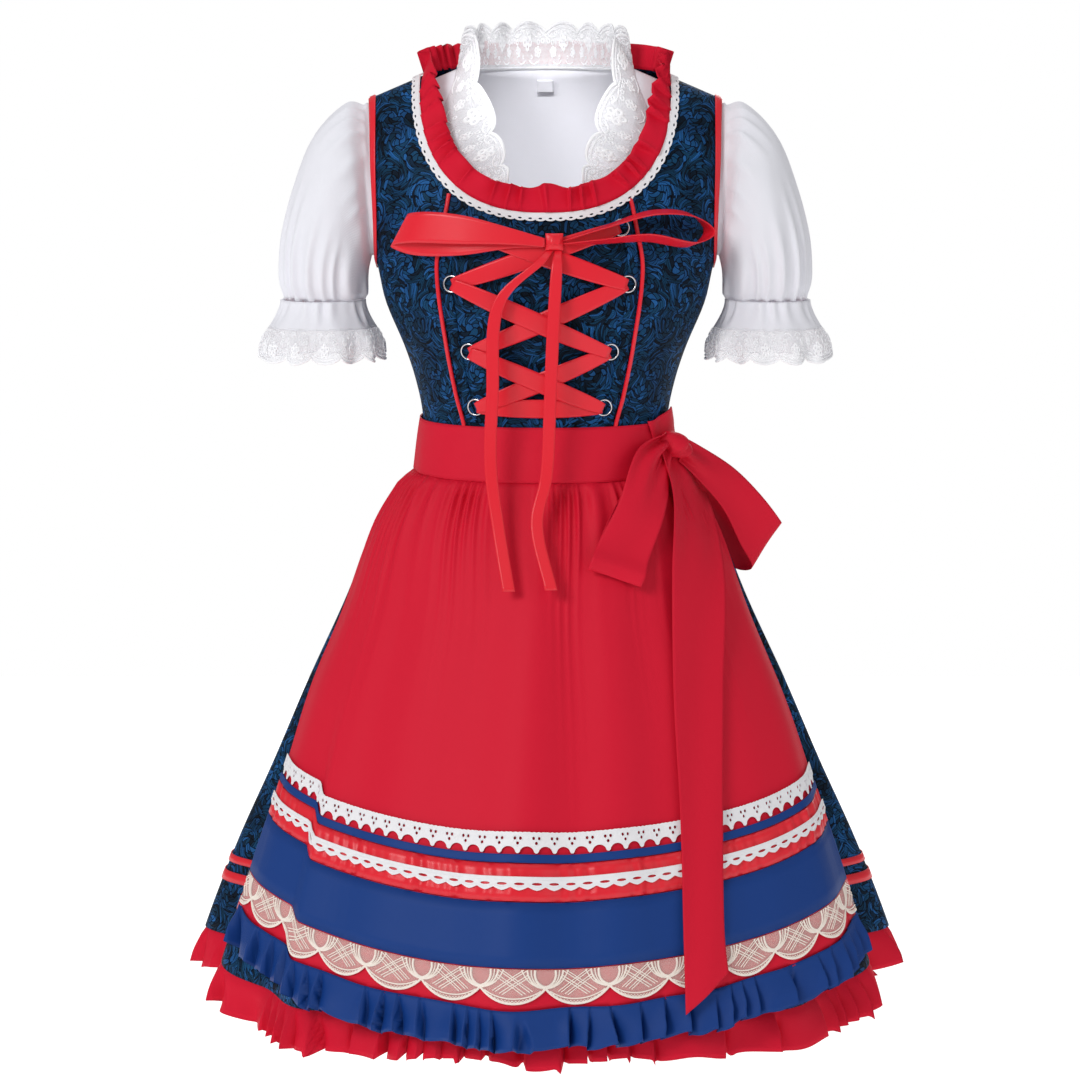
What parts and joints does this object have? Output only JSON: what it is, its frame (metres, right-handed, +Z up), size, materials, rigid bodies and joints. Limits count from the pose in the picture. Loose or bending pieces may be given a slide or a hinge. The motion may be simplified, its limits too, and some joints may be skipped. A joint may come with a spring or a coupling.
{
  "type": "dirndl with blouse and apron",
  "caption": "Short folk dress in its worn, hollow form: puff-sleeved blouse, laced bodice, flared skirt with frilled hem, and a bordered apron with a side bow.",
  "frame": {"origin": "middle of the wearer's shoulder line, where the garment hangs", "axes": "+Z up, the front faces -Y, +X towards the wearer's left"},
  "size_m": [0.8031, 0.6637, 1.0514],
  "materials": {
    "white_cotton": "soft matt cotton",
    "white_lace": "matt embroidered lace on net",
    "navy_damask": "woven jacquard with a low satin sheen",
    "red_frill_cloth": "matt woven polyester",
    "red_satin_ribbon": "glossy satin ribbon",
    "red_apron_cloth": "smooth satin-backed polyester",
    "blue_satin": "smooth satin weave",
    "cream_lace": "embroidered lace on sheer net",
    "steel_wire": "bright nickel-plated wire"
  },
  "bodies": {
    "root": {"blouse_front": "white_cotton", "blouse_back": "white_cotton", "blouse_sleeve_left": "white_cotton", "blouse_sleeve_right": "white_cotton", "blouse_label": "white_cotton", "blouse_collar_lace": "white_lace", "blouse_cuff_left": "white_lace", "blouse_cuff_right": "white_lace", "neckline_lace": "white_lace", "apron_eyelet_lace": "white_lace", "apron_torchon_lace": "white_lace", "bodice_front_centre": "navy_damask", "bodice_side_front_left": "navy_damask", "bodice_side_front_right": "navy_damask", "bodice_back_left": "navy_damask", "bodice_back_right": "navy_damask", "lacing_placket_left": "navy_damask", "lacing_placket_right": "navy_damask", "skirt": "navy_damask", "neckline_frill": "red_frill_cloth", "skirt_hem_frill": "red_frill_cloth", "lacing_run_1": "red_satin_ribbon", "lacing_run_2": "red_satin_ribbon", "lacing_run_3": "red_satin_ribbon", "lacing_run_4": "red_satin_ribbon", "lacing_run_5": "red_satin_ribbon", "lacing_run_6": "red_satin_ribbon", "lacing_run_7": "red_satin_ribbon", "lacing_knot": "red_satin_ribbon", "lacing_loop_left": "red_satin_ribbon", "lacing_loop_right": "red_satin_ribbon", "lacing_tail_left": "red_satin_ribbon", "lacing_tail_right": "red_satin_ribbon", "apron_satin_band": "red_satin_ribbon", "skirt_ribbon_upper": "red_satin_ribbon", "skirt_ribbon_lower": "red_satin_ribbon", "armhole_piping_left": "red_satin_ribbon", "armhole_piping_right": "red_satin_ribbon", "princess_piping_left": "red_satin_ribbon", "princess_piping_right": "red_satin_ribbon", "apron_waistband": "red_apron_cloth", "apron_panel": "red_apron_cloth", "apron_bow_knot": "red_apron_cloth", "apron_bow_loop_front": "red_apron_cloth", "apron_bow_loop_side": "red_apron_cloth", "apron_bow_tail": "red_apron_cloth", "apron_blue_ribbon": "blue_satin", "apron_blue_band": "blue_satin", "apron_ruffle": "blue_satin", "apron_scallop_lace": "cream_lace", "lacing_ring_left_1": "steel_wire", "lacing_ring_left_2": "steel_wire", "lacing_ring_left_3": "steel_wire", "lacing_ring_left_4": "steel_wire", "lacing_ring_right_1": "steel_wire", "lacing_ring_right_2": "steel_wire", "lacing_ring_right_3": "steel_wire", "lacing_ring_right_4": "steel_wire"}
  },
  "joints": []
}
